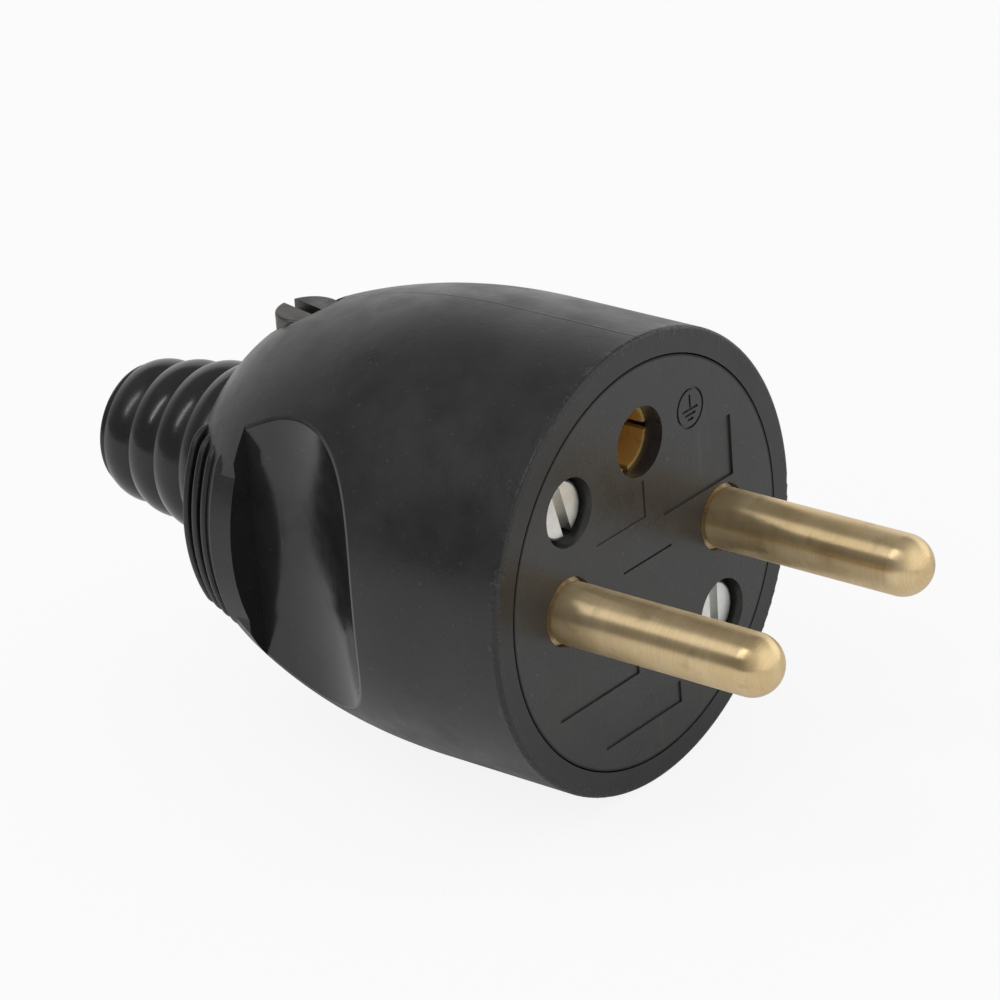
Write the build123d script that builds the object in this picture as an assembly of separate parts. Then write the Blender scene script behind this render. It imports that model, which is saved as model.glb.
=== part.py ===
from build123d import *
from math import asin, cos, degrees, radians, sin
import os

# A rewirable two-pole mains plug with an earth socket, in a moulded rubber body.
# Millimetres. The origin is the centre of the front face, +X points along the pins
# and +Z points to the earth socket. Stations are x values, so they grow more negative
# towards the cord end. A value named back is a distance in front of the shell's end,
# and one named drop lies that far below the barrel's surface.

# Face layout
pin_spacing = 19.0
pin_diameter = 4.8
pin_length = 19.0
earth_offset = 10.0
earth_mouth_diameter = 5.5
fixing_screw_y = 8.75
fixing_screw_z = 7.75

# Sunk marks on the face: panels as lowest y, highest y, lowest z, highest z and depth,
# a rule with the same numbers, and the earth symbol as bars and a ring round them
sunk_panels = [
    (2.3, 11.1, 3.0, 8.0, 0.18),
    (-5.85, 0.15, 3.8, 6.8, 0.08),
    (-11.4, -1.8, -8.4, -5.4, 0.15),
    (-6.3, 3.1, -12.95, -11.15, 0.15),
    (-2.9, 3.0, 0.27, 0.45, 0.15),
]
symbol_y = 6.25
symbol_z = 10.33
symbol_radius = 1.55
symbol_line = 0.2
symbol_depth = 0.15
symbol_bars = [(0.95, -0.1), (0.65, -0.5), (0.35, -0.9)]
symbol_stem = 1.1

# Pins and their terminals
pin_neck_step = 0.35
pin_neck_reach = 0.1
pin_root_step = 0.25
pin_mouth_depth = 0.6
collar_step = 1.05
collar_thickness = 2.0
terminal_radius = 3.0
terminal_stand = 5.6
wire_bore_radius = 1.5
wire_bore_depth = 5.0
terminal_screw_radius = 1.5
terminal_screw_length = 3.8
terminal_screw_stand = 1.3
terminal_screw_slot = 0.6
terminal_screw_setback = 1.8

# Earth socket
earth_bore_radius = 2.45
earth_wall = 0.5
earth_front_station = -1.6
earth_bore_depth = 14.0
earth_collar_step = 0.45
earth_collar_thickness = 1.5
earth_end_gap = 1.5
earth_screw_setback = 3.0
earth_slit_width = 0.6
earth_slit_length = 4.6
earth_chamber_gap = 0.15
earth_spring_station = -3.4
earth_spring_width = 1.4
earth_spring_thickness = 0.5
earth_spring_opening = 50.0

# Pin carrier and rear insulator
carrier_front_wall = 6.5
carrier_rim = 2.2
insulator_margin = 1.3
fit = 0.05

# Cable sleeve
sleeve_length = 13.4
sleeve_bore_radius = 4.5
sleeve_end_wall = 0.7
sleeve_end_step = 0.4
sleeve_end_length = 1.0
sleeve_end_round = 0.3
sleeve_ring_count = 4
sleeve_ring_pitch = 3.2
sleeve_ring_growth = 0.56
sleeve_ring_crown = 0.32
sleeve_crown_place = 0.42
sleeve_groove_depth = 0.9
sleeve_neck_radius = 7.2
sleeve_flange_height = 1.8
sleeve_flange_thickness = 1.0

# Rubber shell, outside
rim_width = 2.15
barrel_length = 12.0
shell_length = 38.0
shoulder_behind_barrel = 8.0
shoulder_drop = 0.55
waist_back = 10.0
waist_drop = 2.45
tail_back = 4.0
tail_drop = 5.35
tail_wall = 0.9
tail_direction = (-0.55, -0.83)
rim_round = 0.35

# Finger scoops in both flanks
scoop_rear_back = 9.6
scoop_floor_length = 2.9
scoop_front_radius = 14.7
scoop_edge_bevel = 0.18

# Pull ribs behind the scoops; the widest one ends at the scoop
rib_count = 3
rib_half_height = 7.6
rib_rear_back = 3.1
rib_pitch = 1.4
rib_width = 0.6
rib_first_stand = 1.15
rib_radius_step = 0.55
rib_corner = 2.2
rib_fade = 1.6
rib_edge_round = 0.25

# Rubber shell, inside
insert_gap = 0.12
insert_depth = 9.0
lip_thickness = 2.0
lip_gap = 0.3
barrel_wall = 2.75
cavity_mid_back = 14.0
cavity_mid_drop = 4.45
cavity_rear_wall = 2.4
flange_gap = 0.6
flank_clearance = 1.15
flank_wall = 2.1
neck_gap = 0.1

# Fixing screws and the brass bushes that they run in
screw_head_radius = 2.35
screw_head_height = 1.8
screw_head_round = 0.3
screw_sink = 0.8
screw_recess_gap = 0.33
screw_radius = 1.5
screw_clearance = 0.15
screw_tail = 1.0
screw_slot_width = 1.0
screw_slot_depth = 1.0
screw_slot_angles = {"upper": 106.0, "lower": 89.0}
bush_wall = 0.8
bush_flange_height = 0.6
bush_flange_thickness = 0.8

# Inner frame, which holds the cord clamp
frame_plate_gap = 0.6
frame_plate_thickness = 2.2
frame_window_radius = 4.5
frame_boss_wall = 1.2
frame_boss_height = 2.0
frame_boss_margin = 0.4
frame_arm_angle = 44.0
frame_arm_thickness = 1.9
frame_arm_margin = 0.35
cradle_length = 9.7
cradle_gap = 0.35
cradle_bore_gap = 0.4
cradle_side_gap = 0.45

# Cord clamp
clamp_back = 6.0
clamp_drop = 3.95
clamp_head_radius = 2.6
clamp_head_height = 2.0
clamp_head_round = 0.2
clamp_recess_gap = 0.5
clamp_screw_radius = 1.5
clamp_slot_width = 1.1
clamp_slot_depth = 1.0
clamp_slot_angle = -12.0
clamp_bush_wall = 0.6
clamp_bush_top = 5.4
clamp_bush_length = 2.8
clamp_screw_reach = 8.4
saddle_width = 8.0
saddle_length = 4.0
saddle_thickness = 3.6
saddle_rise = 0.7
saddle_gap = 0.2

# Radii that follow from the sizes above, from the pins outwards
pin_radius = pin_diameter / 2
pin_y = pin_spacing / 2
pin_neck_radius = pin_radius - pin_neck_step
pin_root_radius = pin_radius + pin_root_step
collar_radius = pin_root_radius + collar_step
earth_tube_radius = earth_bore_radius + earth_wall
earth_collar_radius = earth_tube_radius + earth_collar_step
earth_chamber_radius = earth_tube_radius + earth_spring_thickness + earth_chamber_gap
insulator_radius = pin_y + terminal_radius + insulator_margin
lip_bore_radius = insulator_radius + lip_gap
insert_radius = insulator_radius + carrier_rim
shell_radius = insert_radius + rim_width
cavity_front_radius = shell_radius - barrel_wall
cavity_mid_radius = shell_radius - cavity_mid_drop
frame_plate_radius = cavity_front_radius - frame_plate_gap
frame_boss_reach = frame_plate_radius - frame_boss_margin
sleeve_end_radius = sleeve_bore_radius + sleeve_end_wall
sleeve_ring_radius = sleeve_end_radius + sleeve_end_step
sleeve_flange_radius = sleeve_neck_radius + sleeve_flange_height
tail_bore_radius = sleeve_neck_radius + neck_gap
shell_tail_radius = tail_bore_radius + tail_wall
cavity_rear_radius = sleeve_flange_radius + flange_gap
flank_half_width = sleeve_flange_radius + flank_clearance
scoop_floor_half_width = flank_half_width + flank_wall
rib_first_radius = scoop_floor_half_width + rib_first_stand
cradle_side_half_width = flank_half_width - cradle_side_gap
cradle_bore_radius = sleeve_bore_radius + cradle_bore_gap
screw_recess_radius = screw_head_radius + screw_recess_gap
bush_radius = screw_radius + bush_wall
bush_flange_radius = bush_radius + bush_flange_height
frame_boss_radius = bush_radius + frame_boss_wall
clamp_recess_radius = clamp_head_radius + clamp_recess_gap
clamp_bush_radius = clamp_screw_radius + clamp_bush_wall
clamp_height = shell_radius - clamp_drop

# Stations that follow from the sizes above
collar_rear = -carrier_front_wall
lip_front = -insert_depth
lip_rear = lip_front - lip_thickness
plate_rear = lip_rear - frame_plate_thickness
bush_end = plate_rear - frame_boss_height
shell_end = -shell_length
cavity_end = shell_end + cavity_rear_wall
cradle_rear = cavity_end + sleeve_flange_thickness
cradle_front = cradle_rear + cradle_length
terminal_end_station = lip_rear - terminal_stand
terminal_screw_station = terminal_end_station + terminal_screw_setback
earth_end_station = cradle_front + earth_end_gap
earth_screw_station = earth_end_station + earth_screw_setback
sleeve_end_station = shell_end - sleeve_length
sleeve_ring_station = sleeve_end_station + sleeve_end_length
scoop_rear_station = shell_end + scoop_rear_back
scoop_bend_station = scoop_rear_station + scoop_floor_length
wide_rib_rear = shell_end + rib_rear_back + rib_count * rib_pitch
wide_rib_radius = rib_first_radius + rib_count * rib_radius_step
clamp_station = shell_end + clamp_back


def x_bar(radius, x_front, x_rear, y=0.0, z=0.0):
    """A round bar parallel to the axis, between two stations."""
    middle = (x_front + x_rear) / 2
    return Pos(middle, y, z) * Rot(0, 90, 0) * Cylinder(radius, x_front - x_rear)


def turned(outline):
    """A solid turned about the axis, with its seam at the bottom."""
    return Rot(-90, 0, 0) * revolve(make_face(outline), Axis.X)


def both_flanks(solid):
    """The solid and its mirror image across the upright middle plane."""
    return solid + mirror(solid, Plane.XZ)


def clamp_bar(radius, depth_from, depth_to):
    """A round bar on the clamp screw's upright axis, between two depths below its head's top."""
    middle = clamp_height - (depth_from + depth_to) / 2
    return Pos(clamp_station, 0, middle) * Cylinder(radius, depth_to - depth_from)


def clamp_box(length, width, depth_from, depth_to):
    """A box on the clamp screw's axis, between two depths below its head's top."""
    middle = clamp_height - (depth_from + depth_to) / 2
    return Pos(clamp_station, 0, middle) * Box(length, width, depth_to - depth_from)


def shell_outside():
    """The turned outside of the shell: a short barrel that runs into an ogive."""
    barrel_end = (-barrel_length, shell_radius)
    barrel = Line((0, shell_radius), barrel_end)
    ogive = Spline(
        barrel_end,
        (-barrel_length - shoulder_behind_barrel, shell_radius - shoulder_drop),
        (shell_end + waist_back, shell_radius - waist_drop),
        (shell_end + tail_back, shell_radius - tail_drop),
        (shell_end, shell_tail_radius),
        tangents=[(-1, 0), tail_direction],
    )
    tail = Polyline((shell_end, shell_tail_radius), (shell_end, 0), (0, 0), (0, shell_radius))
    return turned(Curve() + [barrel, ogive, tail])


def rib_outline(radius):
    """A rib's outline across the axis: a concentric arc with rounded upper and lower ends."""
    half_angle = degrees(asin(rib_half_height / radius))
    arc = CenterArc((0, 0), radius, 180 - half_angle, 2 * half_angle)
    root = -cavity_rear_radius / 2
    side = radius * cos(radians(half_angle))
    back = Polyline((-side, rib_half_height), (root, rib_half_height),
                    (root, -rib_half_height), (-side, -rib_half_height))
    face = make_face(Curve() + [arc, back])
    outer = face.vertices().sort_by(Axis.X)[:2]
    return fillet(outer, rib_corner)


def rib(x_rear, width, radius):
    """One pull rib on the left flank."""
    outline = Plane(origin=(x_rear, 0, 0), x_dir=(0, 1, 0), z_dir=(1, 0, 0)) * rib_outline(radius)
    solid = extrude(outline, width)
    ends = solid.faces().filter_by(Axis.X)
    crest = [edge for end in ends for edge in end.edges() if edge.center().Y < -radius / 2]
    return fillet(crest, rib_edge_round)


def scoop():
    """The left finger scoop: a flat floor that turns up in an arc towards the face."""
    floor = scoop_floor_half_width
    outside = -3 * shell_radius
    bend = (scoop_bend_station, -floor)
    wall = CenterArc((scoop_bend_station, -floor - scoop_front_radius), scoop_front_radius,
                     90, -90)
    top = wall @ 1
    base = Line((scoop_rear_station, -floor), bend)
    back = Polyline(top, (top.X, outside), (scoop_rear_station, outside),
                    (scoop_rear_station, -floor))
    plan = make_face(Curve() + [base, wall, back])
    return Pos(0, 0, -shell_radius) * extrude(plan, 2 * shell_radius)


def cavity():
    """The room behind the lip, narrowed where the finger scoops come in."""
    room = turned(Polyline(
        (lip_rear, 0), (lip_rear, cavity_front_radius),
        (shell_end + cavity_mid_back, cavity_mid_radius),
        (cavity_end, cavity_rear_radius), (cavity_end, 0), close=True))
    inner = scoop_front_radius + flank_wall
    narrow = flank_half_width
    bend = (scoop_bend_station, -narrow)
    flank = CenterArc((scoop_bend_station, -narrow - inner), inner, 90, -90)
    rear = Line((cavity_end, -narrow), bend)
    top = flank @ 1
    outside = -3 * shell_radius
    back = Polyline(top, (top.X, outside), (cavity_end, outside), (cavity_end, -narrow))
    plan = make_face(Curve() + [rear, flank, back])
    block = Pos(0, 0, -shell_radius) * extrude(plan, 2 * shell_radius)
    return room - both_flanks(block)


def ribs():
    """The left flank's pull ribs: a stepped row of narrow ones and a wide one at the scoop."""
    row = rib(wide_rib_rear, scoop_rear_station - wide_rib_rear, wide_rib_radius)
    for i in range(rib_count):
        radius = wide_rib_radius - (i + 1) * rib_radius_step
        row += rib(wide_rib_rear - (i + 1) * rib_pitch, rib_width, radius)
    return row


def wide_rib_relief():
    """What stands over the left wide rib's crest, cut off with flats that fade out at its ends."""
    reach = rib_half_height - rib_fade
    half_angle = degrees(asin(reach / wide_rib_radius))
    crest = CenterArc((0, 0), wide_rib_radius, 180 - half_angle, 2 * half_angle)
    side = wide_rib_radius * cos(radians(half_angle))
    outside = -3 * shell_radius
    back = Polyline((-side, reach), (-side, 2 * rib_half_height), (outside, 2 * rib_half_height),
                    (outside, -2 * rib_half_height), (-side, -2 * rib_half_height), (-side, -reach))
    plane = Plane(origin=(wide_rib_rear, 0, 0), x_dir=(0, 1, 0), z_dir=(1, 0, 0))
    return extrude(plane * make_face(Curve() + [crest, back]), scoop_rear_station - wide_rib_rear)


def beside_scoop(edge):
    """Whether an edge runs along a scoop, where its floor or wall meets the turned outside."""
    box = edge.bounding_box()
    runs = box.max.X - box.min.X > fit
    return runs and abs(edge.center().Y) > scoop_floor_half_width - fit


def outer_shell():
    """The one-piece rubber body: ogive, finger scoops, ribs, insert pocket and cavity."""
    body = shell_outside()
    rim = body.faces().sort_by(Axis.X)[-1].edges()
    body = fillet(rim, rim_round) - both_flanks(scoop())
    body = chamfer([edge for edge in body.edges() if beside_scoop(edge)], scoop_edge_bevel)
    body = body - both_flanks(wide_rib_relief()) + both_flanks(ribs())
    body = body - x_bar(insert_radius + insert_gap, 0, lip_front)
    body = body - x_bar(lip_bore_radius, lip_front, lip_rear) - cavity()
    body = body - x_bar(tail_bore_radius, cavity_end, shell_end)
    body = body - clamp_bar(clamp_recess_radius, -clamp_drop, clamp_head_height)
    return body - clamp_bar(clamp_screw_radius + screw_clearance, 0, clamp_bush_top)


def sleeve_ring_edges(index):
    """One moulded ring of the sleeve: a sharp rear step and a crowned back."""
    rear = sleeve_ring_station + index * sleeve_ring_pitch
    front = rear + sleeve_ring_pitch
    low = sleeve_ring_radius + index * sleeve_ring_growth
    high = low + sleeve_ring_growth
    middle = (rear + sleeve_crown_place * sleeve_ring_pitch, low + sleeve_ring_crown)
    valley = (front, high - sleeve_groove_depth)
    return [ThreePointArc((rear, low), middle, valley), Line(valley, (front, high))]


def cable_sleeve():
    """The ringed boot that guards the cord, with a flange inside the shell."""
    count = sleeve_ring_count
    first = (sleeve_ring_station, sleeve_ring_radius)
    end_radius = sleeve_end_radius
    neck_station = sleeve_ring_station + count * sleeve_ring_pitch
    neck_start = (neck_station, sleeve_ring_radius + count * sleeve_ring_growth)
    edges = [Line((sleeve_end_station, end_radius), (sleeve_ring_station, end_radius)),
             Line((sleeve_ring_station, end_radius), first)]
    for index in range(count):
        edges += sleeve_ring_edges(index)
    inside = Polyline(
        neck_start, (neck_station, sleeve_neck_radius), (cavity_end, sleeve_neck_radius),
        (cavity_end, sleeve_flange_radius), (cradle_rear, sleeve_flange_radius),
        (cradle_rear, sleeve_bore_radius), (sleeve_end_station, sleeve_bore_radius),
        (sleeve_end_station, end_radius))
    sleeve = turned(Curve() + edges + [inside])
    sleeve -= x_bar(shell_radius, cavity_end, shell_end) - x_bar(
        sleeve_neck_radius, cavity_end, shell_end)
    end = sleeve.faces().sort_by(Axis.X)[0].edges()
    return fillet(end, sleeve_end_round)


def screw_places():
    return {"upper": (-fixing_screw_y, fixing_screw_z), "lower": (fixing_screw_y, -fixing_screw_z)}


def face_box(y_low, y_high, z_low, z_high, depth):
    """A box that sinks a mark into the front face."""
    middle = Pos(0, (y_low + y_high) / 2, (z_low + z_high) / 2)
    return middle * Box(2 * depth, y_high - y_low, z_high - z_low)


def earth_symbol():
    """The earth symbol: three bars of falling length under a stem, in a ring."""
    ring = Cylinder(symbol_radius + symbol_line / 2, 2 * symbol_depth)
    ring -= Cylinder(symbol_radius - symbol_line / 2, 2 * symbol_depth)
    half_line = symbol_line / 2
    sign = Pos(0, symbol_y, symbol_z) * Rot(0, 90, 0) * ring
    sign += face_box(symbol_y - half_line, symbol_y + half_line,
                     symbol_z, symbol_z + symbol_stem, symbol_depth)
    for half_width, z in symbol_bars:
        sign += face_box(symbol_y - half_width, symbol_y + half_width,
                         symbol_z + z - half_line, symbol_z + z + half_line, symbol_depth)
    return sign


def pin_carrier():
    """The round front insert that the pins stand in."""
    carrier = x_bar(insert_radius, 0, lip_front)
    carrier -= x_bar(insulator_radius + fit, collar_rear, lip_front)
    for y in (-pin_y, pin_y):
        carrier -= x_bar(pin_root_radius + fit, 0, collar_rear, y)
        carrier -= x_bar(collar_radius + fit, collar_rear + collar_thickness, collar_rear, y)
    carrier -= x_bar(earth_mouth_diameter / 2, 0, earth_front_station, 0, earth_offset)
    carrier -= x_bar(earth_chamber_radius, earth_front_station, collar_rear, 0, earth_offset)
    for y, z in screw_places().values():
        carrier -= x_bar(screw_recess_radius, 0, -screw_sink - screw_head_height, y, z)
        carrier -= x_bar(screw_radius + screw_clearance, 0, collar_rear, y, z)
    for panel in sunk_panels:
        carrier -= face_box(*panel)
    return carrier - earth_symbol()


def rear_insulator():
    """The plate behind the carrier that keeps the collars of pins and earth socket in."""
    plate = x_bar(insulator_radius, collar_rear, lip_rear)
    for y in (-pin_y, pin_y):
        plate -= x_bar(terminal_radius + fit, collar_rear, lip_rear, y)
    seat = collar_rear - earth_collar_thickness
    plate -= x_bar(earth_collar_radius + fit, collar_rear, seat, 0, earth_offset)
    plate -= x_bar(earth_tube_radius + fit, seat, lip_rear, 0, earth_offset)
    for y, z in screw_places().values():
        plate -= x_bar(screw_radius + screw_clearance, collar_rear, lip_rear, y, z)
    return plate


def z_screw(x, y, z_tip, z_top, radius):
    """A slotted set screw that stands along Z; its slot is at z_top."""
    low, high = min(z_tip, z_top), max(z_tip, z_top)
    solid = Pos(x, y, (low + high) / 2) * Cylinder(radius, high - low)
    slot = Pos(x, y, z_top) * Box(4 * radius, terminal_screw_slot, radius)
    return solid - slot


def terminal_screw(x, y, z, side):
    """A terminal's set screw; side is +1 above the terminal and -1 below it."""
    top = z + side * (terminal_radius + terminal_screw_stand)
    return z_screw(x, y, top - side * terminal_screw_length, top, terminal_screw_radius)


def tapped_hole(x, y, z, side):
    depth = terminal_radius + fit
    return Pos(x, y, z + side * depth / 2) * Cylinder(terminal_screw_radius + fit, depth)


def pin(y, side):
    """A turned pin in one piece with its collar and terminal barrel."""
    tip = pin_length - pin_radius
    solid = x_bar(pin_radius, tip, pin_neck_reach, y) + Pos(tip, y, 0) * Sphere(pin_radius)
    solid += x_bar(pin_neck_radius, pin_neck_reach, -pin_mouth_depth, y)
    solid += x_bar(pin_root_radius, -pin_mouth_depth, collar_rear, y)
    solid += x_bar(collar_radius, collar_rear + collar_thickness, collar_rear, y)
    solid += x_bar(terminal_radius, collar_rear, terminal_end_station, y)
    solid -= x_bar(wire_bore_radius, terminal_end_station + wire_bore_depth,
                   terminal_end_station, y)
    return solid - tapped_hole(terminal_screw_station, y, 0, side)


def earth_socket():
    """The split brass tube that takes the earth pin, with its terminal barrel."""
    z = earth_offset
    bore_end = earth_front_station - earth_bore_depth
    seat = collar_rear - earth_collar_thickness
    solid = x_bar(earth_tube_radius, earth_front_station, bore_end, 0, z)
    solid += x_bar(earth_collar_radius, collar_rear, seat, 0, z)
    solid += x_bar(terminal_radius, lip_rear, earth_end_station, 0, z)
    solid -= x_bar(earth_bore_radius, earth_front_station, bore_end, 0, z)
    solid -= x_bar(wire_bore_radius, earth_end_station + wire_bore_depth, earth_end_station, 0, z)
    across = 4 * earth_tube_radius
    slit = Box(2 * earth_slit_length, across, earth_slit_width)
    for turn in (0, 90):
        solid -= Pos(earth_front_station, 0, z) * Rot(turn, 0, 0) * slit
    return solid - tapped_hole(earth_screw_station, 0, z, -1)


def earth_spring():
    """The open steel ring that presses the fingers of the earth socket together."""
    inner = earth_tube_radius + fit / 2
    front = earth_spring_station
    rear = front - earth_spring_width
    ring = x_bar(inner + earth_spring_thickness, front, rear) - x_bar(inner, front, rear)
    gap = 2 * inner * sin(radians(earth_spring_opening / 2))
    opening = Pos((front + rear) / 2, 0, -inner) * Box(2 * earth_spring_width, gap, 2 * inner)
    return Pos(0, 0, earth_offset) * (ring - opening)


def fixing_screw(name):
    """A slotted cheese head screw that draws the insert and the inner frame together."""
    y, z = screw_places()[name]
    seat = -screw_sink - screw_head_height
    head = x_bar(screw_head_radius, -screw_sink, seat)
    head = fillet(head.edges().sort_by(Axis.X)[-1], screw_head_round)
    slot = Pos(-screw_sink, 0, 0) * Rot(screw_slot_angles[name], 0, 0) * Box(
        2 * screw_slot_depth, 4 * screw_head_radius, screw_slot_width)
    end = bush_end - bush_flange_thickness - screw_tail
    return Pos(0, y, z) * (head - slot + x_bar(screw_radius, seat, end))


def thread_bush(name):
    """The flanged brass insert in the inner frame that a fixing screw runs in."""
    y, z = screw_places()[name]
    end = bush_end - bush_flange_thickness
    bush = x_bar(bush_radius, lip_rear, end, y, z) + x_bar(bush_flange_radius, bush_end, end, y, z)
    return bush - x_bar(screw_radius + fit / 2, lip_rear, end, y, z)


def saddle_guide():
    """The upright channel in the cradle that the saddle slides in."""
    roof = clamp_bush_top + clamp_bush_length
    floor = clamp_screw_reach + saddle_thickness + 2 * saddle_gap
    return clamp_box(saddle_length + 2 * saddle_gap, saddle_width + 2 * saddle_gap, roof, floor)


def inner_frame():
    """The moulded frame behind the lip: a plate, an arm and the cradle of the cord clamp."""
    plate = x_bar(frame_plate_radius, lip_rear, plate_rear)
    for y, z in screw_places().values():
        boss = x_bar(frame_boss_radius, lip_rear, bush_end, y, z)
        plate += boss & x_bar(frame_boss_reach, lip_rear, bush_end)
    rise = cavity_mid_radius - cavity_rear_radius
    slope = rise / (cavity_mid_back - cavity_rear_wall)
    rear_radius = cavity_rear_radius + slope * (cradle_rear - cavity_end) - cradle_gap
    front_radius = rear_radius + slope * cradle_length
    cradle = turned(Polyline((cradle_rear, 0), (cradle_rear, rear_radius),
                             (cradle_front, front_radius), (cradle_front, 0), close=True))
    cradle = cradle & Box(4 * shell_length, 2 * cradle_side_half_width, 4 * shell_radius)
    arm_radius = front_radius - frame_arm_margin
    arm = x_bar(arm_radius, plate_rear, cradle_front)
    arm -= x_bar(arm_radius - frame_arm_thickness, plate_rear, cradle_front)
    arm_width = 2 * arm_radius * sin(radians(frame_arm_angle / 2))
    arm = arm & Pos(0, 0, -arm_radius) * Box(4 * shell_length, arm_width, 1.5 * arm_radius)
    frame = plate + cradle + arm
    frame -= x_bar(cradle_bore_radius, cradle_front, cradle_rear)
    frame -= x_bar(frame_window_radius, lip_rear, plate_rear)
    for y in (-pin_y, pin_y):
        frame -= x_bar(terminal_radius + fit, lip_rear, plate_rear, y)
    frame -= x_bar(terminal_radius + fit, lip_rear, plate_rear, 0, earth_offset)
    for y, z in screw_places().values():
        frame -= x_bar(bush_radius, lip_rear, bush_end, y, z)
    frame -= clamp_bar(clamp_screw_radius + screw_clearance, 0, clamp_bush_top)
    frame -= clamp_bar(clamp_bush_radius, clamp_bush_top, clamp_bush_top + clamp_bush_length)
    return frame - saddle_guide()


def clamp_screw():
    """The slotted screw in the shell's back that presses the saddle on the cord."""
    head = clamp_bar(clamp_head_radius, 0, clamp_head_height)
    head = fillet(head.edges().sort_by(Axis.Z)[-1], clamp_head_round)
    slot = Pos(clamp_station, 0, clamp_height) * Rot(0, 0, clamp_slot_angle) * Box(
        4 * clamp_head_radius, clamp_slot_width, 2 * clamp_slot_depth)
    return head - slot + clamp_bar(clamp_screw_radius, clamp_head_height, clamp_screw_reach)


def clamp_bush():
    """The brass bush in the cradle's roof that the clamp screw runs in."""
    end = clamp_bush_top + clamp_bush_length
    bush = clamp_bar(clamp_bush_radius, clamp_bush_top, end)
    return bush - clamp_bar(clamp_screw_radius + fit / 2, clamp_bush_top, end)


def cord_saddle():
    """The pressure pad under the clamp screw, hollowed to lie on a round cord."""
    end = clamp_screw_reach + saddle_thickness
    pad = clamp_box(saddle_length, saddle_width, clamp_screw_reach, end)
    return pad - x_bar(sleeve_bore_radius, 0, shell_end, 0, -saddle_rise)


nodes = {
    "outer_shell": outer_shell(),
    "cable_sleeve": cable_sleeve(),
    "pin_carrier": pin_carrier(),
    "rear_insulator": rear_insulator(),
    "inner_frame": inner_frame(),
    "line_pin": pin(-pin_y, -1),
    "neutral_pin": pin(pin_y, 1),
    "earth_socket": earth_socket(),
    "earth_spring": earth_spring(),
    "line_terminal_screw": terminal_screw(terminal_screw_station, -pin_y, 0, -1),
    "neutral_terminal_screw": terminal_screw(terminal_screw_station, pin_y, 0, 1),
    "earth_terminal_screw": terminal_screw(earth_screw_station, 0, earth_offset, -1),
    "upper_fixing_screw": fixing_screw("upper"),
    "lower_fixing_screw": fixing_screw("lower"),
    "upper_thread_bush": thread_bush("upper"),
    "lower_thread_bush": thread_bush("lower"),
    "clamp_screw": clamp_screw(),
    "clamp_bush": clamp_bush(),
    "cord_saddle": cord_saddle(),
}

os.makedirs("parts", exist_ok=True)
for name, solid in nodes.items():
    export_step(solid, f"parts/{name}.step")
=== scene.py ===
import bmesh
import bpy
from mathutils import Matrix, Vector


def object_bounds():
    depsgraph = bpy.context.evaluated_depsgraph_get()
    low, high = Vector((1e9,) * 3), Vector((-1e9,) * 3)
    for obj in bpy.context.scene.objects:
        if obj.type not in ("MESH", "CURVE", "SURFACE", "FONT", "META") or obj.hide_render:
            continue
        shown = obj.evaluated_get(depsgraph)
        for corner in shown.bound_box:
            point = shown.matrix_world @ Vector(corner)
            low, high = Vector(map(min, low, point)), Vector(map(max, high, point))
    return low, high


MM = 0.001
WHITE = (1.0, 1.0, 1.0)

# The view of the photograph, in the part's own frame
CAMERA_PLACE = (206.78 * MM, -258.13 * MM, 157.74 * MM)
CAMERA_RIGHT = (0.778651, 0.623485, -0.070497)
CAMERA_UP = (-0.211168, 0.366191, 0.906263)
CAMERA_BACK = (0.590857, -0.690775, 0.416795)
CAMERA_LENS = 176.18
CAMERA_SENSOR = 36.0
CAMERA_CLIP = (0.01, 20.0)

# The finger scoops of the shell: a flat floor that turns up in an arc towards the face
SCOOP_REAR = -28.4 * MM
SCOOP_BEND = -25.5 * MM
SCOOP_FLOOR = 12.25 * MM
SCOOP_RADIUS = 14.7 * MM
SCOOP_REAR_MARGIN = 0.02 * MM
SCOOP_GLOSS = (0.13, 0.2)
SCOOP_SMOOTHING = (1.0, 0.25)
SCOOP_TOLERANCE = 0.06 * MM

# The rings of the cable sleeve: where the first starts, their pitch, and the valley, where shade is painted
# and the rubber dulled, as shares of it
SLEEVE_REAR = -50.4 * MM
SLEEVE_PITCH = 3.2 * MM
SLEEVE_VALLEY_SHADE = (0.78, 0.95)

# The rim round the face and its worn edge, and the painted shade of the gap between the insert and the rim
RIM_RADIUS = 18.0 * MM
RIM_WORN_WIDTH = 0.7 * MM
RIM_WORN_REACH = (-0.8 * MM, -0.2 * MM)
RIM_NICK_SCALE = 1100
RIM_NICK_DEPTH = 0.1 * MM
INSERT_RADIUS = 16.0 * MM
INSERT_GAP_SHADE = (INSERT_RADIUS - 0.22 * MM, INSERT_RADIUS - 0.08 * MM)

# The parting line on top of the shell: its place, where it starts, and where it stops short of the rim
PARTING_SIDE = 0.8 * MM
PARTING_HALF_WIDTH = 0.14 * MM
PARTING_RELIEF = 0.04 * MM
PARTING_START = (12 * MM, 13 * MM)
PARTING_END = (-0.45 * MM, -0.35 * MM)

# The rounded tips of the pins, which are smoother, and how far stains and marks darken brass
PIN_TIP = (15.5 * MM, 17.5 * MM)
TIP_POLISH = 0.08
TIP_SMOOTHING = 0.7
MARK_SHADE = 0.62
STAIN_SHADE = 0.5
TURNED_RELIEF = 0.012 * MM

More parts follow.
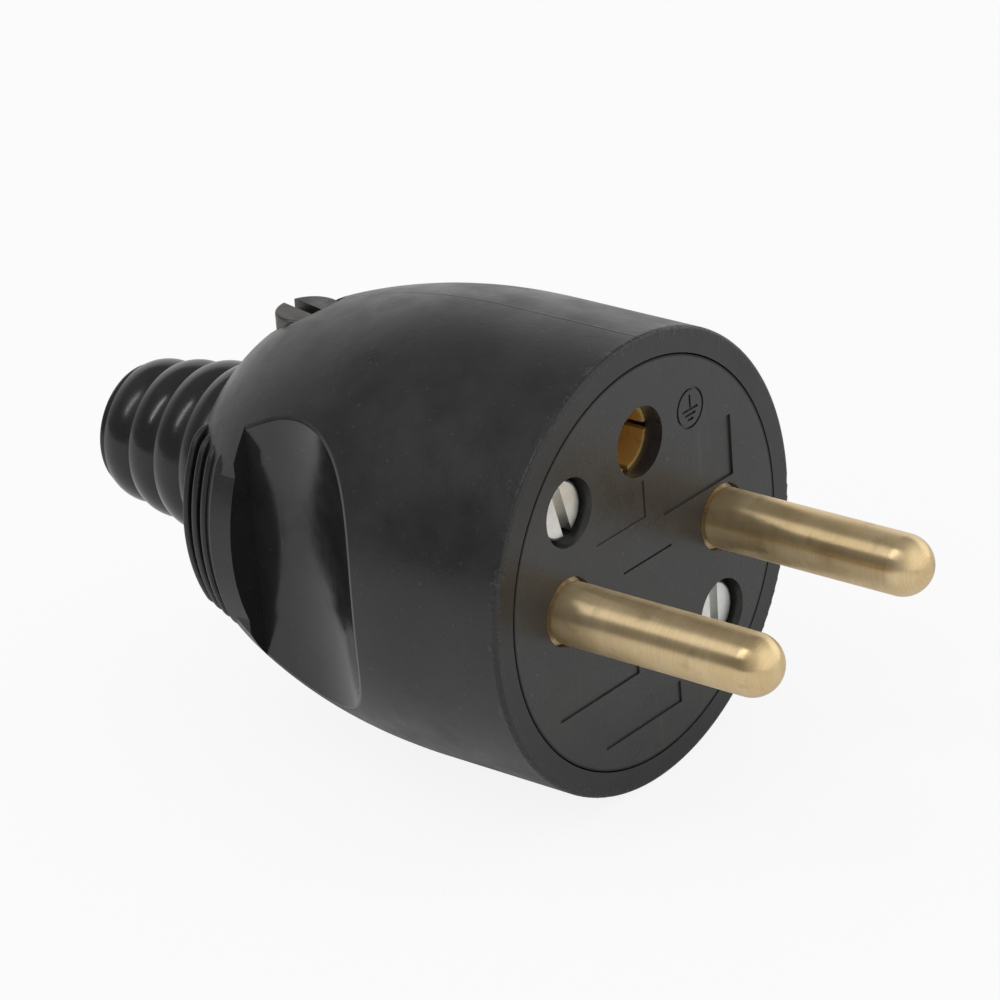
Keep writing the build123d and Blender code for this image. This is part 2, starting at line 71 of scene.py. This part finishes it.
# The studio round the plug: light levels, directions, and where each part of it fades out
AMBIENT_LEVEL = 0.75
FLOOR_SEEN = 0.88
FLOOR_MIRRORED = 0.2
ROOM_LEVEL = 0.2
BACKDROP_TOWARDS = (-0.42, 0.906, 0.0)
BACKDROP_FADE = (-0.1, 0.8)
BACKDROP_TOP = (0.45, 0.66)
BACKDROP_LEVEL = 0.68
OVERHEAD_FADE = (0.5, 0.95)
OVERHEAD_LEVEL = 0.14
RIGHT_TOWARDS = (0.88, 0.45, 0.1)
RIGHT_FADE = (0.2, 0.8)
RIGHT_LEVEL = 0.6
FRONT_TOWARDS = (1.0, -0.3, 0.4)
FRONT_FADE = (0.3, 0.9)
FRONT_LEVEL = 0.36

# The floor, and the strip lamp that gives the small bright lights
FLOOR_SIZE = 3.0
FLOOR_STEPS = 8
LAMP_PLACE = (-0.20, -0.42, 0.65)
LAMP_SIZE = (0.08, 0.5)
LAMP_POWER = 1.1

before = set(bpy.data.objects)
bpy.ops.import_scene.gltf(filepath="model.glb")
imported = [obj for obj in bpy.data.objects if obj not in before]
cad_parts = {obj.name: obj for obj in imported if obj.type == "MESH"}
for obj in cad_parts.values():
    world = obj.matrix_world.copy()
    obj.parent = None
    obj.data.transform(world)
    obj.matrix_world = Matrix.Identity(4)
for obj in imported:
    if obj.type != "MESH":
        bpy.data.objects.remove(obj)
cad_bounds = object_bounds()
scene = bpy.context.scene


# Node trees

class Graph:
    """A short way to write a node tree."""

    def __init__(self, tree):
        self.tree = tree

    def add(self, kind, **values):
        node = self.tree.nodes.new(kind)
        for key, value in values.items():
            setattr(node, key, value)
        return node

    def link(self, source, target):
        """Feeds a socket from a number, a colour or another socket."""
        if isinstance(source, (int, float)):
            target.default_value = source
        elif isinstance(source, tuple):
            target.default_value = (*source, 1.0)
        else:
            self.tree.links.new(source, target)

    def maths(self, operation, *inputs):
        node = self.add("ShaderNodeMath", operation=operation)
        for value, socket in zip(inputs, node.inputs):
            self.link(value, socket)
        return node.outputs[0]

    def ramp(self, value, limits, levels=(0.0, 1.0), kind="LINEAR"):
        """Goes from the first level to the second as the value crosses the limits."""
        node = self.add("ShaderNodeMapRange", interpolation_type=kind, clamp=True)
        self.link(value, node.inputs["Value"])
        for name, number in zip(("From Min", "From Max", "To Min", "To Max"), (*limits, *levels)):
            node.inputs[name].default_value = number
        return node.outputs[0]


class Material(Graph):
    """A material that is written in the object's own coordinates."""

    def __init__(self, name):
        self.material = bpy.data.materials.new(name)
        self.material.use_nodes = True
        super().__init__(self.material.node_tree)
        self.shader = self.tree.nodes["Principled BSDF"]
        self.place = self.add("ShaderNodeTexCoord").outputs["Object"]
        split = self.add("ShaderNodeSeparateXYZ")
        self.link(self.place, split.inputs[0])
        self.x, self.y, self.z = split.outputs

    def noise(self, scale, detail, roughness=0.55, stretch=None):
        node = self.add("ShaderNodeTexNoise")
        node.inputs["Scale"].default_value = scale
        node.inputs["Detail"].default_value = detail
        node.inputs["Roughness"].default_value = roughness
        source = self.place
        if stretch is not None:
            mapping = self.add("ShaderNodeMapping")
            mapping.inputs["Scale"].default_value = stretch
            self.link(source, mapping.inputs["Vector"])
            source = mapping.outputs[0]
        self.link(source, node.inputs["Vector"])
        return node.outputs["Fac"]

    def mix(self, factor, first, second):
        """A colour that goes from the first to the second with the factor."""
        node = self.add("ShaderNodeMix", data_type="RGBA")
        self.link(factor, node.inputs["Factor"])
        self.link(first, node.inputs[6])
        self.link(second, node.inputs[7])
        return node.outputs[2]

    def blend(self, factor, first, second):
        """A number that goes from the first value to the second with the factor."""
        node = self.add("ShaderNodeMix", data_type="FLOAT")
        self.link(factor, node.inputs[0])
        self.link(first, node.inputs[2])
        self.link(second, node.inputs[3])
        return node.outputs[0]

    def bump(self, height, distance, strength, below=None):
        node = self.add("ShaderNodeBump")
        node.inputs["Distance"].default_value = distance
        self.link(strength, node.inputs["Strength"])
        self.link(height, node.inputs["Height"])
        if below is not None:
            self.link(below, node.inputs["Normal"])
        return node.outputs["Normal"]

    def near(self, value, level, tolerance):
        """1 where a value lies within a tolerance of a level, 0 elsewhere."""
        gap = self.maths("ABSOLUTE", self.maths("SUBTRACT", value, level))
        return self.maths("LESS_THAN", gap, tolerance)

    def distance(self, first, second):
        """How far a place lies from an axis, from its two distances across."""
        return self.maths("SQRT", self.maths("ADD", self.maths("MULTIPLY", first, first),
                                             self.maths("MULTIPLY", second, second)))

    def finish(self, color, roughness, normal, **fixed):
        self.link(color, self.shader.inputs["Base Color"])
        self.link(roughness, self.shader.inputs["Roughness"])
        self.link(normal, self.shader.inputs["Normal"])
        for name, value in fixed.items():
            self.shader.inputs[name.replace("_", " ")].default_value = value
        return self.material


class Moulding(Material):
    """Moulded black rubber or plastic: soft blotches, smudges, fine grain and a few specks of dust."""

    # Noise scales, for a metre
    BLOTCHES = 210
    DUST = 2300
    FILM = 420
    SMUDGES = 120
    COARSE = 700
    FINE = 3400

    DUST_SPECKS = (0.7, 0.78)
    DUST_COVER = (0.0, 0.5)
    DUST_BRIGHTNESS = 3.0
    SMUDGE_DULLING = (-0.04, 0.08)
    COARSE_RELIEF = 0.05 * MM
    COARSE_STRENGTH = 0.3
    FINE_STRENGTH = 0.7

    def __init__(self, name, dark, light, gloss, grain):
        super().__init__(name)
        self.grain = grain
        blotch = self.noise(self.BLOTCHES, detail=4)
        dust = self.ramp(self.noise(self.DUST, detail=1), self.DUST_SPECKS, self.DUST_COVER)
        dust_color = tuple(self.DUST_BRIGHTNESS * c for c in light)
        self.color = self.mix(dust, self.mix(self.ramp(blotch, (0.35, 0.7)), dark, light), dust_color)
        film = self.ramp(self.noise(self.FILM, detail=5), (0.3, 0.7), gloss)
        smudges = self.noise(self.SMUDGES, detail=4, roughness=0.6)
        self.roughness = self.maths("ADD", film, self.ramp(smudges, (0.35, 0.65), self.SMUDGE_DULLING))
        self.coarse = self.noise(self.COARSE, detail=3)
        self.fine = self.noise(self.FINE, detail=3, roughness=0.7)

    def share(self, strength, factor):
        if isinstance(strength, float):
            return strength * factor
        return self.maths("MULTIPLY", strength, factor)

    def surface(self, strength=1.0):
        """The uneven surface, from a coarse and a fine grain."""
        normal = self.bump(self.coarse, self.COARSE_RELIEF, self.share(strength, self.COARSE_STRENGTH))
        return self.bump(self.fine, self.grain, self.share(strength, self.FINE_STRENGTH), below=normal)


# Materials

def scoop_mask(m):
    """1 on the polished floor and turned-up wall of the finger scoops."""
    side = m.maths("ABSOLUTE", m.y)
    behind = m.maths("MULTIPLY", m.maths("GREATER_THAN", m.x, SCOOP_REAR - SCOOP_REAR_MARGIN),
                     m.maths("LESS_THAN", m.x, SCOOP_BEND))
    floor = m.maths("MULTIPLY", behind, m.near(side, SCOOP_FLOOR, SCOOP_TOLERANCE))
    ahead = m.maths("GREATER_THAN", m.x, SCOOP_BEND)
    along = m.maths("SUBTRACT", m.x, SCOOP_BEND)
    out = m.maths("SUBTRACT", SCOOP_FLOOR + SCOOP_RADIUS, side)
    wall = m.maths("MULTIPLY", ahead, m.near(m.distance(along, out), SCOOP_RADIUS, SCOOP_TOLERANCE))
    return m.maths("MAXIMUM", floor, wall)


def parting_line(m):
    """1 on the crest of the parting line on top of the shell."""
    reach = m.maths("MULTIPLY", m.ramp(m.z, PARTING_START), m.ramp(m.x, PARTING_END, (1.0, 0.0)))
    gap = m.maths("ABSOLUTE", m.maths("SUBTRACT", m.y, PARTING_SIDE))
    return m.maths("MULTIPLY", m.ramp(gap, (0.0, PARTING_HALF_WIDTH), (1.0, 0.0)), reach)


def rim_nicks(m):
    """Small nicks along the outer edge of the rim."""
    edge = m.maths("MULTIPLY", m.ramp(m.x, RIM_WORN_REACH),
                   m.ramp(m.distance(m.y, m.z), (RIM_RADIUS - RIM_WORN_WIDTH, RIM_RADIUS)))
    nicks = m.ramp(m.noise(RIM_NICK_SCALE, detail=4, roughness=0.7), (0.5, 0.7))
    return m.maths("MULTIPLY", nicks, edge)


def shell_rubber():
    m = Moulding("shell_rubber", (0.012, 0.012, 0.0123), (0.019, 0.0186, 0.0182), (0.28, 0.38), 0.02 * MM)
    polished = scoop_mask(m)
    roughness = m.blend(polished, m.roughness, m.ramp(m.coarse, (0.3, 0.7), SCOOP_GLOSS))
    normal = m.surface(m.ramp(polished, (0.0, 1.0), SCOOP_SMOOTHING))
    normal = m.bump(parting_line(m), PARTING_RELIEF, 0.7, below=normal)
    normal = m.bump(rim_nicks(m), RIM_NICK_DEPTH, 0.8, below=normal)
    return m.finish(m.color, roughness, normal)


def sleeve_rubber():
    """Smoother rubber than the shell's, dull in the valleys between the rings, with painted shade there."""
    m = Moulding("sleeve_rubber", (0.010, 0.010, 0.0105), (0.015, 0.0145, 0.014), (0.14, 0.21), 0.008 * MM)
    rings = m.maths("DIVIDE", m.maths("SUBTRACT", m.x, SLEEVE_REAR), SLEEVE_PITCH)
    valley_shade_and_dulling = m.ramp(m.maths("FRACT", rings), SLEEVE_VALLEY_SHADE)
    # painted shade: the valleys between the rings are darkened to near black
    color = m.mix(valley_shade_and_dulling, m.color, (0.003, 0.003, 0.003))
    return m.finish(color, m.blend(valley_shade_and_dulling, m.roughness, 0.45), m.surface(0.6))


def insert_plastic():
    """Hard plastic with fine upright scratches, and painted shade along its outer edge in the gap inside
    the rim.
    """
    m = Moulding("insert_plastic", (0.024, 0.024, 0.0245), (0.033, 0.0325, 0.032), (0.24, 0.34), 0.022 * MM)
    scratches = m.noise(1500, detail=2, roughness=0.6, stretch=(1.0, 0.9, 0.06))
    color = m.mix(m.ramp(scratches, (0.66, 0.74), (0.0, 0.5)), m.color, (0.05, 0.05, 0.049))
    gap_shade_and_dulling = m.ramp(m.distance(m.y, m.z), INSERT_GAP_SHADE)
    # painted shade: the outer edge of the insert, in the gap to the rim, is darkened to near black and
    # dulled
    color = m.mix(gap_shade_and_dulling, color, (0.002, 0.002, 0.002))
    return m.finish(color, m.blend(gap_shade_and_dulling, m.roughness, 0.7), m.surface())


def inner_plastic():
    m = Moulding("inner_plastic", (0.030, 0.030, 0.032), (0.040, 0.040, 0.042), (0.4, 0.55), 0.008 * MM)
    return m.finish(m.color, m.roughness, m.surface())


def brass(name, color_low, color_high, gloss, brushing):
    """Turned brass with fine marks round it and a duller film in places."""
    m = Material(name)
    marks = m.noise(900, detail=4, roughness=0.7, stretch=(14.0, 0.25, 0.25))
    film = m.noise(240, detail=4)
    stain = m.ramp(m.noise(620, detail=5), (0.56, 0.74), (0.0, 0.45))
    color = m.mix(m.ramp(film, (0.35, 0.7)), color_low, color_high)
    color = m.mix(m.ramp(marks, (0.4, 0.75), (0.0, 0.3)), color, tuple(MARK_SHADE * c for c in color_low))
    color = m.mix(stain, color, tuple(STAIN_SHADE * c for c in color_low))
    tip = m.ramp(m.x, PIN_TIP)
    roughness = m.maths("SUBTRACT", m.ramp(film, (0.3, 0.7), gloss), m.maths("MULTIPLY", tip, TIP_POLISH))
    depth = m.maths("MULTIPLY", marks, m.maths("SUBTRACT", 1.0, m.maths("MULTIPLY", tip, TIP_SMOOTHING)))
    round_axis = m.add("ShaderNodeTangent", direction_type="RADIAL", axis="X")
    m.link(round_axis.outputs[0], m.shader.inputs["Tangent"])
    return m.finish(color, roughness, m.bump(depth, TURNED_RELIEF, 0.5),
                    Metallic=1.0, Anisotropic=brushing, Anisotropic_Rotation=0.25)


def steel(name, color_low, color_high, gloss):
    """Plated or plain steel, a little dull and scratched."""
    m = Material(name)
    film = m.noise(700, detail=4)
    scratches = m.noise(1500, detail=3, roughness=0.7, stretch=(1.0, 0.15, 1.0))
    color = m.mix(m.ramp(film, (0.35, 0.7)), color_low, color_high)
    roughness = m.ramp(scratches, (0.3, 0.75), gloss)
    return m.finish(color, roughness, m.bump(scratches, 0.01 * MM, 0.5), Metallic=1.0)


looks = (
    (shell_rubber(), ("outer_shell",)),
    (sleeve_rubber(), ("cable_sleeve",)),
    (insert_plastic(), ("pin_carrier",)),
    (inner_plastic(), ("rear_insulator", "inner_frame", "cord_saddle")),
    (brass("pin_brass", (0.72, 0.54, 0.29), (0.85, 0.68, 0.42), (0.33, 0.43), 0.8),
     ("line_pin", "neutral_pin")),
    (brass("socket_brass", (0.95, 0.66, 0.24), (0.98, 0.74, 0.30), (0.55, 0.65), 0.0),
     ("earth_socket", "upper_thread_bush", "lower_thread_bush", "clamp_bush")),
    (steel("zinc_steel", (0.76, 0.76, 0.73), (0.88, 0.88, 0.86), (0.28, 0.42)),
     ("line_terminal_screw", "neutral_terminal_screw", "earth_terminal_screw",
      "upper_fixing_screw", "lower_fixing_screw")),
    (steel("clamp_steel", (0.10, 0.098, 0.09), (0.16, 0.155, 0.145), (0.36, 0.5)), ("clamp_screw",)),
    (steel("spring_steel", (0.42, 0.42, 0.42), (0.52, 0.52, 0.53), (0.28, 0.4)), ("earth_spring",)),
)
for look, names in looks:
    for name in names:
        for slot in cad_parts[name].material_slots:
            slot.material = look


# Floor, light and camera

def pale_floor():
    """A pale floor that looks white to the camera and keeps the object's soft shadow."""
    m = Material("pale_floor")
    tint = m.ramp(m.noise(3.0, detail=3), (0.3, 0.7))
    m.link(m.mix(tint, (0.80, 0.80, 0.80), (0.84, 0.84, 0.84)), m.shader.inputs["Base Color"])
    m.link(0.9, m.shader.inputs["Roughness"])
    glow = m.add("ShaderNodeEmission")
    m.link(WHITE, glow.inputs["Color"])
    m.link(1.0, glow.inputs["Strength"])
    rays = m.add("ShaderNodeLightPath")
    mirrored = m.maths("MAXIMUM", rays.outputs["Is Glossy Ray"], rays.outputs["Is Transmission Ray"])
    share = m.maths("MAXIMUM", m.maths("MULTIPLY", rays.outputs["Is Camera Ray"], FLOOR_SEEN),
                    m.maths("MULTIPLY", mirrored, FLOOR_MIRRORED))
    blend = m.add("ShaderNodeMixShader")
    for source, socket in zip((share, m.shader.outputs[0], glow.outputs[0]), blend.inputs):
        m.link(source, socket)
    m.link(blend.outputs[0], m.tree.nodes["Material Output"].inputs["Surface"])
    return m.material


def add_floor():
    mesh = bpy.data.meshes.new("floor")
    bm = bmesh.new()
    level = cad_bounds[0][2]
    places = [FLOOR_SIZE * (i / FLOOR_STEPS - 0.5) for i in range(FLOOR_STEPS + 1)]
    grid = [[bm.verts.new((x, y, level)) for y in places] for x in places]
    for row, next_row in zip(grid, grid[1:]):
        for j in range(FLOOR_STEPS):
            bm.faces.new((row[j], next_row[j], next_row[j + 1], row[j + 1]))
    bm.to_mesh(mesh)
    bm.free()
    mesh.materials.append(pale_floor())
    floor = bpy.data.objects.new("floor", mesh)
    scene.collection.objects.link(floor)


def add_lamp():
    """A strip lamp that points at the middle of the face."""
    data = bpy.data.lights.new("key", "AREA")
    data.shape = "RECTANGLE"
    data.size, data.size_y = LAMP_SIZE
    data.energy = LAMP_POWER
    lamp = bpy.data.objects.new("key", data)
    turn = Vector(LAMP_PLACE).normalized().to_track_quat("Z", "Y").to_matrix().to_4x4()
    lamp.matrix_world = Matrix.Translation(LAMP_PLACE) @ turn
    scene.collection.objects.link(lamp)


def add_world():
    """White to the camera, even for matt surfaces, and a studio with a white backdrop in reflections."""
    world = bpy.data.worlds.new("studio")
    world.use_nodes = True
    w = Graph(world.node_tree)
    direction = w.add("ShaderNodeTexCoord").outputs["Generated"]

    def along(towards):
        dot = w.add("ShaderNodeVectorMath", operation="DOT_PRODUCT")
        w.link(direction, dot.inputs[0])
        dot.inputs[1].default_value = Vector(towards).normalized()
        return dot.outputs["Value"]

    def fade(value, limits, *levels):
        return w.ramp(value, limits, levels, kind="SMOOTHSTEP")

    height = along((0, 0, 1))
    backdrop = w.maths("MULTIPLY", fade(along(BACKDROP_TOWARDS), BACKDROP_FADE, 0.0, BACKDROP_LEVEL),
                       fade(height, BACKDROP_TOP, 1.0, 0.0))
    right = fade(along(RIGHT_TOWARDS), RIGHT_FADE, 0.0, RIGHT_LEVEL)
    front = fade(along(FRONT_TOWARDS), FRONT_FADE, 0.0, FRONT_LEVEL)
    overhead = fade(height, OVERHEAD_FADE, ROOM_LEVEL, ROOM_LEVEL + OVERHEAD_LEVEL)
    sides = w.maths("ADD", backdrop, w.maths("ADD", right, front))
    studio = w.maths("ADD", sides, overhead)
    rays = w.add("ShaderNodeLightPath")
    mirrored = w.maths("MAXIMUM", rays.outputs["Is Glossy Ray"], rays.outputs["Is Transmission Ray"])
    matt = w.maths("MULTIPLY", w.maths("SUBTRACT", 1.0, mirrored), AMBIENT_LEVEL)
    level = w.maths("ADD", w.maths("MULTIPLY", studio, mirrored), matt)
    background = w.tree.nodes["Background"]
    w.link(w.maths("MAXIMUM", level, rays.outputs["Is Camera Ray"]), background.inputs["Strength"])
    w.link(WHITE, background.inputs["Color"])
    scene.world = world


def add_camera():
    data = bpy.data.cameras.new("camera")
    data.lens = CAMERA_LENS
    data.sensor_width = CAMERA_SENSOR
    data.sensor_fit = "HORIZONTAL"
    data.clip_start, data.clip_end = CAMERA_CLIP
    camera = bpy.data.objects.new("camera", data)
    turn = Matrix((CAMERA_RIGHT, CAMERA_UP, CAMERA_BACK)).transposed().to_4x4()
    camera.matrix_world = Matrix.Translation(CAMERA_PLACE) @ turn
    scene.collection.objects.link(camera)
    scene.camera = camera


add_floor()
add_world()
add_lamp()
add_camera()

scene.view_settings.view_transform = "Standard"
